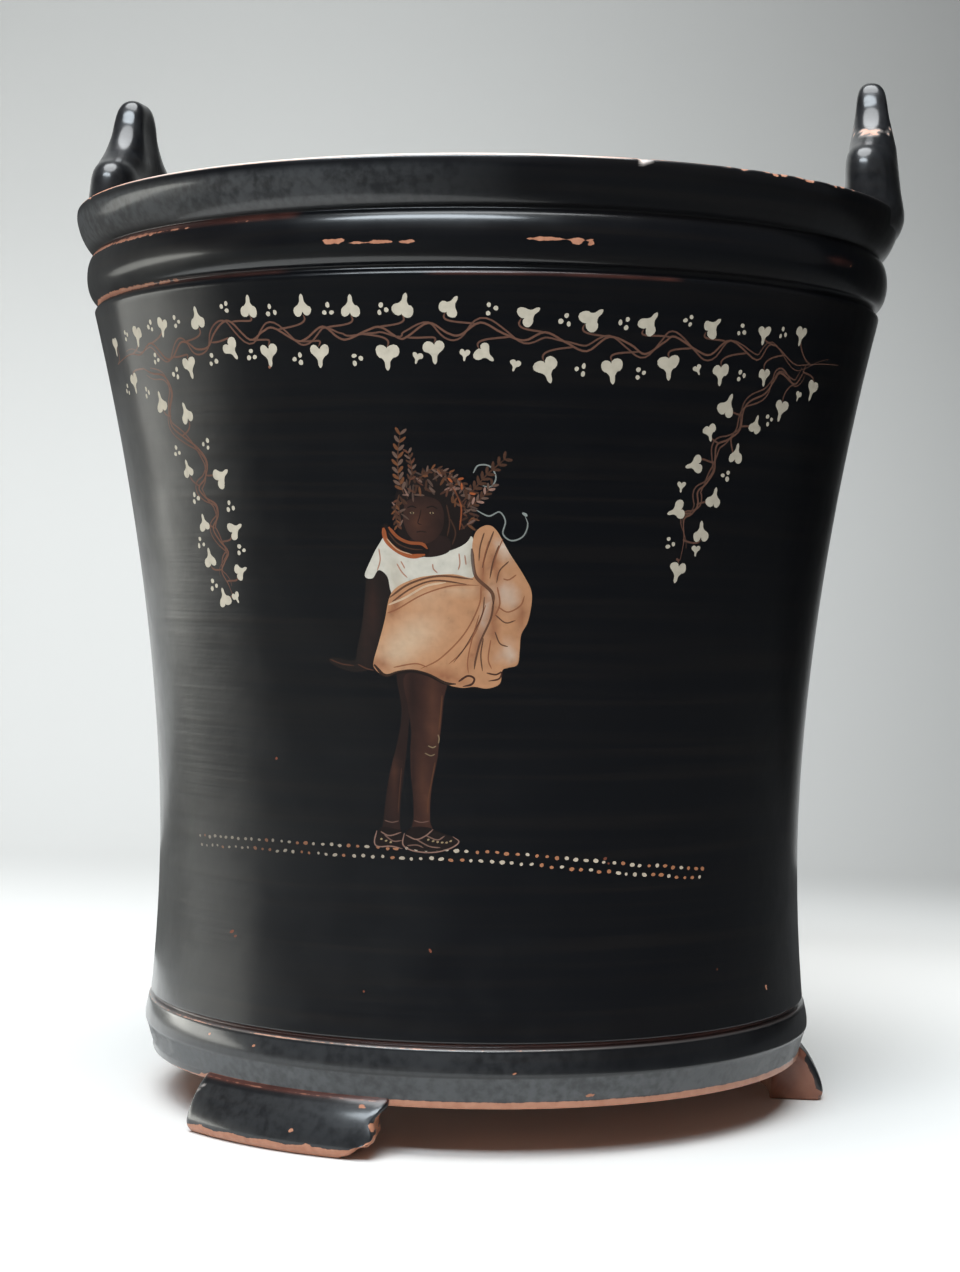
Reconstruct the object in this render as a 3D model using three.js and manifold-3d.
import * as THREE from 'three';
import { mergeVertices } from 'three/addons/utils/BufferGeometryUtils.js';
import Module from 'manifold-3d';

// A black-slipped clay situla: a wheel-thrown bucket with a flaring concave wall, a moulded rim,
// two upright lugs on the rim and three feet cut from a ring, all fired as one piece.
// Millimetres. The vessel stands on z = 0 with its axis on Z and its painted side towards -Y.
// Angles are in degrees around the axis, measured from -Y and growing towards +X.

// Wall
const WAIST_RADIUS = 88.5;
const WAIST_HEIGHT = 70;
const BODY_TOP_RADIUS = 108;
const BODY_TOP_HEIGHT = 214;
const FLARE_POWER = 1.78;
const BODY_FOOT_RADIUS = 90.5;
const BODY_FOOT_HEIGHT = 28;
const WALL_THICKNESS = 6.5;
const OUTER_WALL_STEPS = 10;
const INNER_WALL_STEPS = 8;

// Rim: a flaring lip above a half-round torus, parted by two grooves
const LOWER_GROOVE_RADIUS = 106.8;
const LOWER_GROOVE_HEIGHT = 215.8;
const TORUS_RADIUS = 110;
const TORUS_SWELL = 0.9;
const TORUS_FULLNESS = 0.14;
const UPPER_GROOVE_RADIUS = 108;
const UPPER_GROOVE_HEIGHT = 229;
const LIP_RADIUS = 113;
const LIP_HEIGHT = 238;
const RIM_HEIGHT = 241;
const LIP_ROUNDING = 1.2;
const RIM_TOP_OUTER_RADIUS = 109.8;
const MOUTH_RADIUS = 100.3;
const MOUTH_ROUNDING = 1.6;
const MOUTH_STRAIGHT_HEIGHT = 209;

// Base: a band under a narrow groove, an undercut slope and a thin bare edge
const BASE_GROOVE_DEPTH = 1.1;
const BASE_GROOVE_WIDTH = 1.6;
const BASE_GROOVE_SLANT = 0.3;
const BAND_TOP_RADIUS = 91;
const BAND_RADIUS = 91.8;
const BAND_LOW_HEIGHT = 20.6;
const BASE_EDGE_ROUNDING = 0.6;
const SLOPE_FOOT_RADIUS = 89.8;
const SLOPE_FOOT_HEIGHT = 14.8;
const BASE_UNDERSIDE_HEIGHT = 12.6;
const RECESS_RADIUS = 76;
const RECESS_HEIGHT = 14.6;
const FLOOR_HEIGHT = 22.6;
const FLOOR_ROUNDING = 11;

// Feet: sections of a flaring ring, the front one with its lower corner broken off
const FEET = [
  { start: -44, end: -9.5, broken: true },
  { start: 88, end: 122.5, broken: false },
  { start: -158, end: -123.5, broken: false },
];
const FOOT_INNER_RADIUS = 82;
const FOOT_SOLE_RADIUS = 95;
const FOOT_OUTER_RADIUS = 96.6;
const FOOT_EDGE_HEIGHT = 2.8;
const FOOT_RIDGE_RADIUS = 92.6;
const FOOT_RIDGE_HEIGHT = 10.6;
const FOOT_NECK_RADIUS = 88.4;
const FOOT_NECK_HEIGHT = 12.2;
const FOOT_SWELL = 0.9;
const FOOT_SUNK = 2;
const FOOT_STEPS = 8;
const BREAK_LENGTH = 8.4;
const BREAK_HEIGHT = 4.2;

// Lugs: thick plates that follow the rim, with a tall tongue between two low shoulders
const LUGS = [
  { angle: 87, shoulder: 17, tip: 36 },
  { angle: -97.5, shoulder: 18.2, tip: 37.8 },
];
const LUG_FOOT_RADIUS = 106;
const LUG_TIP_RADIUS = 104.8;
const LUG_THICKNESS = 11.4;
const LUG_TIP_THICKNESS = 7.2;
const LUG_ROUNDING = 3;
const LUG_HALF_LENGTH = 27.5;
const LUG_END_ROUNDING = 8;
const LUG_WAIST_HALF_WIDTH = 7.8;
const LUG_WAIST_FLARE = 1.8;
const LUG_WAIST_BELOW_TIP = 10;
const LUG_TONGUE_HALF_WIDTH = 4.6;
const LUG_SUNK = 4;
const LUG_FLARE = 1;
const LUG_FLARE_HEIGHT = 6;

// The thrower's lean: the rim stands this much higher, for each millimetre towards +X, than a true one
const RIM_LEAN = 0.006;

// Facets
const TURNS = 60;
const ARC_STEPS = 5;
const MERGE_DISTANCE = 1e-4;

const wasm = await Module();
wasm.setup();

// Radius of the outer wall: a power curve above the waist and a shallow parabola below it.
function wallRadius(height) {
  if (height >= WAIST_HEIGHT) {
    const share = (height - WAIST_HEIGHT) / (BODY_TOP_HEIGHT - WAIST_HEIGHT);
    return WAIST_RADIUS + (BODY_TOP_RADIUS - WAIST_RADIUS) * share ** FLARE_POWER;
  }
  const share = (WAIST_HEIGHT - height) / (WAIST_HEIGHT - BODY_FOOT_HEIGHT);
  return WAIST_RADIUS + (BODY_FOOT_RADIUS - WAIST_RADIUS) * share ** 2;
}

// Radius of the inner wall: the outer wall less its thickness, straight up inside the rim.
function innerRadius(height) {
  return Math.min(wallRadius(height) - WALL_THICKNESS, MOUTH_RADIUS);
}

// A closed solid from a geometry: shared corners merged, flat triangles dropped, faces outwards.
function solid(geometry) {
  geometry.deleteAttribute('normal');
  geometry.deleteAttribute('uv');
  const merged = mergeVertices(geometry, MERGE_DISTANCE);
  const corners = [new THREE.Vector3(), new THREE.Vector3(), new THREE.Vector3()];
  const index = merged.index.array;
  const triangles = [];
  let volume = 0;
  for (let i = 0; i < index.length; i += 3) {
    const triangle = [index[i], index[i + 1], index[i + 2]];
    if (new Set(triangle).size === 3) {
      triangles.push(triangle);
      triangle.forEach((vertex, k) => corners[k].fromBufferAttribute(merged.attributes.position, vertex));
      volume += corners[0].dot(corners[1].cross(corners[2]));
    }
  }
  if (volume < 0) {
    triangles.forEach((triangle) => triangle.reverse());
  }
  const vertProperties = new Float32Array(merged.attributes.position.array);
  const triVerts = new Uint32Array(triangles.flat());
  return new wasm.Manifold(new wasm.Mesh({ numProp: 3, vertProperties, triVerts }));
}

// Moves every corner of a geometry by a rule that changes the vector in place.
function reshape(geometry, rule) {
  const position = geometry.attributes.position;
  const corner = new THREE.Vector3();
  for (let i = 0; i < position.count; i += 1) {
    corner.fromBufferAttribute(position, i);
    rule(corner);
    position.setXYZ(i, corner.x, corner.y, corner.z);
  }
  return geometry;
}

// Sets a corner at an angle, radius and height around the vessel's axis.
function setRound(corner, angle, radius, height) {
  const turn = THREE.MathUtils.degToRad(angle);
  corner.set(radius * Math.sin(turn), -radius * Math.cos(turn), height);
}

// Raises or lowers a corner by the rim's lean, which grows with the height above the feet.
function leanRim(corner) {
  corner.z += RIM_LEAN * corner.x * (corner.z / RIM_HEIGHT);
}

// The thrown body: one profile from the middle of the underside over the rim to the inner floor.
function body() {
  const grooveTop = BODY_FOOT_HEIGHT + BASE_GROOVE_WIDTH / 2;
  const grooveLow = BODY_FOOT_HEIGHT - BASE_GROOVE_WIDTH / 2;
  const grooveRadius = BODY_FOOT_RADIUS - BASE_GROOVE_DEPTH;
  const profile = new THREE.Path();
  profile.moveTo(0, RECESS_HEIGHT);
  profile.lineTo(RECESS_RADIUS, RECESS_HEIGHT);
  profile.lineTo(RECESS_RADIUS + RECESS_HEIGHT - BASE_UNDERSIDE_HEIGHT, BASE_UNDERSIDE_HEIGHT);
  profile.lineTo(SLOPE_FOOT_RADIUS - BASE_EDGE_ROUNDING, BASE_UNDERSIDE_HEIGHT);
  profile.lineTo(SLOPE_FOOT_RADIUS, BASE_UNDERSIDE_HEIGHT + BASE_EDGE_ROUNDING);
  profile.lineTo(SLOPE_FOOT_RADIUS, SLOPE_FOOT_HEIGHT);
  profile.lineTo(BAND_RADIUS - BASE_EDGE_ROUNDING, BAND_LOW_HEIGHT - BASE_EDGE_ROUNDING);
  profile.quadraticCurveTo(
    BAND_RADIUS + BASE_EDGE_ROUNDING / 2, BAND_LOW_HEIGHT + BASE_EDGE_ROUNDING,
    BAND_TOP_RADIUS, grooveLow,
  );
  profile.lineTo(grooveRadius, grooveLow + BASE_GROOVE_SLANT);
  profile.lineTo(grooveRadius, grooveTop - BASE_GROOVE_SLANT);
  for (let step = 0; step <= OUTER_WALL_STEPS; step += 1) {
    const height = THREE.MathUtils.lerp(grooveTop, BODY_TOP_HEIGHT, step / OUTER_WALL_STEPS);
    profile.lineTo(wallRadius(height), height);
  }
  profile.lineTo(LOWER_GROOVE_RADIUS, LOWER_GROOVE_HEIGHT);
  const torusSide = TORUS_FULLNESS * (UPPER_GROOVE_HEIGHT - LOWER_GROOVE_HEIGHT);
  profile.bezierCurveTo(
    TORUS_RADIUS + TORUS_SWELL, LOWER_GROOVE_HEIGHT + torusSide,
    TORUS_RADIUS + TORUS_SWELL, UPPER_GROOVE_HEIGHT - torusSide,
    UPPER_GROOVE_RADIUS, UPPER_GROOVE_HEIGHT,
  );
  profile.lineTo(LIP_RADIUS - LIP_ROUNDING * 0.4, LIP_HEIGHT - LIP_ROUNDING);
  profile.bezierCurveTo(
    LIP_RADIUS + LIP_ROUNDING * 0.4, LIP_HEIGHT + LIP_ROUNDING * 0.5,
    RIM_TOP_OUTER_RADIUS + LIP_ROUNDING * 1.5, RIM_HEIGHT,
    RIM_TOP_OUTER_RADIUS, RIM_HEIGHT,
  );
  profile.lineTo(MOUTH_RADIUS + MOUTH_ROUNDING, RIM_HEIGHT);
  profile.lineTo(MOUTH_RADIUS + MOUTH_ROUNDING * 0.3, RIM_HEIGHT - MOUTH_ROUNDING * 0.3);
  profile.lineTo(MOUTH_RADIUS, RIM_HEIGHT - MOUTH_ROUNDING);
  const innerFoot = FLOOR_HEIGHT + FLOOR_ROUNDING;
  for (let step = 0; step <= INNER_WALL_STEPS; step += 1) {
    const height = THREE.MathUtils.lerp(MOUTH_STRAIGHT_HEIGHT, innerFoot, step / INNER_WALL_STEPS);
    profile.lineTo(innerRadius(height), height);
  }
  const cornerRadius = innerRadius(innerFoot);
  profile.quadraticCurveTo(cornerRadius, FLOOR_HEIGHT, cornerRadius - FLOOR_ROUNDING, FLOOR_HEIGHT);
  profile.lineTo(0, FLOOR_HEIGHT);
  const lathe = new THREE.LatheGeometry(profile.getPoints(ARC_STEPS), TURNS);
  return solid(reshape(lathe.rotateX(Math.PI / 2), leanRim));
}

// One foot: its section carried around the axis, top end sunk in the base.
function foot({ start, end, broken }) {
  const section = new THREE.Shape();
  section.moveTo(FOOT_INNER_RADIUS, 0);
  section.lineTo(FOOT_SOLE_RADIUS, 0);
  section.lineTo(FOOT_OUTER_RADIUS - FOOT_SWELL / 2, FOOT_EDGE_HEIGHT / 2.5);
  section.lineTo(FOOT_OUTER_RADIUS, FOOT_EDGE_HEIGHT);
  section.quadraticCurveTo(
    FOOT_OUTER_RADIUS - FOOT_SWELL, (FOOT_EDGE_HEIGHT + FOOT_RIDGE_HEIGHT) / 2,
    FOOT_RIDGE_RADIUS, FOOT_RIDGE_HEIGHT,
  );
  section.quadraticCurveTo(
    FOOT_RIDGE_RADIUS - FOOT_SWELL, FOOT_NECK_HEIGHT,
    FOOT_NECK_RADIUS, FOOT_NECK_HEIGHT,
  );
  section.lineTo(FOOT_NECK_RADIUS - FOOT_SWELL, BASE_UNDERSIDE_HEIGHT + FOOT_SUNK);
  section.lineTo(FOOT_INNER_RADIUS + 1, BASE_UNDERSIDE_HEIGHT + FOOT_SUNK);
  section.closePath();
  const settings = { depth: 1, steps: FOOT_STEPS, curveSegments: 4, bevelEnabled: false };
  const geometry = reshape(new THREE.ExtrudeGeometry(section, settings), (corner) => {
    setRound(corner, THREE.MathUtils.lerp(start, end, corner.z), corner.x, corner.y);
  });
  return broken ? solid(geometry).subtract(breakage(end)) : solid(geometry);
}

// The missing lower corner at a foot's end: a block whose upper face slants down along the sole.
function breakage(end) {
  const size = 4 * BREAK_LENGTH;
  const block = new THREE.BoxGeometry(size, size, size).translate(0, 0, -size / 2);
  block.rotateY(-Math.atan2(BREAK_HEIGHT, BREAK_LENGTH));
  block.translate(0, 0, BREAK_HEIGHT);
  const middle = (FOOT_INNER_RADIUS + FOOT_OUTER_RADIUS) / 2;
  return solid(reshape(block, (corner) => {
    const turn = THREE.MathUtils.degToRad(end);
    const radius = middle - corner.y;
    const along = corner.x;
    corner.set(
      radius * Math.sin(turn) + along * Math.cos(turn),
      -radius * Math.cos(turn) + along * Math.sin(turn),
      corner.z,
    );
  }));
}

// A lug's outline: one half from its sunk foot over the shoulder to the tip, then its mirror image.
function lugOutline(shoulder, tip) {
  const shoulderEnd = LUG_HALF_LENGTH - LUG_END_ROUNDING;
  const waist = tip - LUG_WAIST_BELOW_TIP;
  const outline = new THREE.Shape();
  outline.moveTo(0, -LUG_SUNK);
  outline.lineTo(LUG_HALF_LENGTH, -LUG_SUNK);
  outline.lineTo(LUG_HALF_LENGTH, shoulder - LUG_END_ROUNDING);
  outline.quadraticCurveTo(LUG_HALF_LENGTH, shoulder, shoulderEnd, shoulder);
  outline.bezierCurveTo(
    shoulderEnd - LUG_END_ROUNDING / 2, shoulder,
    LUG_WAIST_HALF_WIDTH + LUG_WAIST_FLARE, (shoulder + waist) / 2,
    LUG_WAIST_HALF_WIDTH, waist,
  );
  outline.lineTo(LUG_TONGUE_HALF_WIDTH, tip - LUG_TONGUE_HALF_WIDTH * 0.7);
  outline.quadraticCurveTo(LUG_TONGUE_HALF_WIDTH * 0.8, tip, 0, tip);
  for (const point of outline.getPoints(ARC_STEPS).reverse().slice(1, -1)) {
    outline.lineTo(-point.x, point.y);
  }
  return outline;
}

// One lug: its outline given a rounded thickness, thinned and leaned inwards towards the tip,
// flared out to the lip at its foot and bent along the rim.
function lug({ angle, shoulder, tip }) {
  const settings = {
    depth: LUG_THICKNESS - 2 * LUG_ROUNDING,
    bevelThickness: LUG_ROUNDING,
    bevelSize: LUG_ROUNDING,
    bevelOffset: -LUG_ROUNDING,
    bevelSegments: 3,
    curveSegments: ARC_STEPS,
  };
  const geometry = new THREE.ExtrudeGeometry(lugOutline(shoulder, tip), settings);
  geometry.translate(0, 0, LUG_ROUNDING - LUG_THICKNESS / 2);
  return solid(reshape(geometry, (corner) => {
    const share = THREE.MathUtils.clamp(corner.y / tip, 0, 1);
    const thinning = THREE.MathUtils.lerp(1, LUG_TIP_THICKNESS / LUG_THICKNESS, share);
    const middle = THREE.MathUtils.lerp(LUG_FOOT_RADIUS, LUG_TIP_RADIUS, share);
    const outwards = Math.max(corner.z, 0) / (LUG_THICKNESS / 2);
    const flare = LUG_FLARE * outwards * Math.exp(-Math.max(corner.y, 0) / LUG_FLARE_HEIGHT);
    const around = THREE.MathUtils.radToDeg(corner.x / LUG_FOOT_RADIUS);
    setRound(corner, angle + around, middle + corner.z * thinning + flare, RIM_HEIGHT + corner.y);
    leanRim(corner);
  }));
}

// Back from a solid to a geometry with flat facets.
function geometryOf(shape) {
  const mesh = shape.getMesh();
  const geometry = new THREE.BufferGeometry();
  geometry.setAttribute('position', new THREE.BufferAttribute(new Float32Array(mesh.vertProperties), 3));
  geometry.setIndex(new THREE.BufferAttribute(new Uint32Array(mesh.triVerts), 1));
  geometry.computeVertexNormals();
  return geometry;
}

const pieces = [...FEET.map(foot), ...LUGS.map(lug)];
const vessel = pieces.reduce((whole, piece) => whole.add(piece), body());

const blackSlip = new THREE.MeshStandardMaterial({ color: 0x16191b, roughness: 0.32, metalness: 0 });
const vesselMesh = new THREE.Mesh(geometryOf(vessel), blackSlip);
vesselMesh.name = 'situla_vessel';

const situla = new THREE.Group();
situla.name = 'situla';
situla.add(vesselMesh);

export default situla;
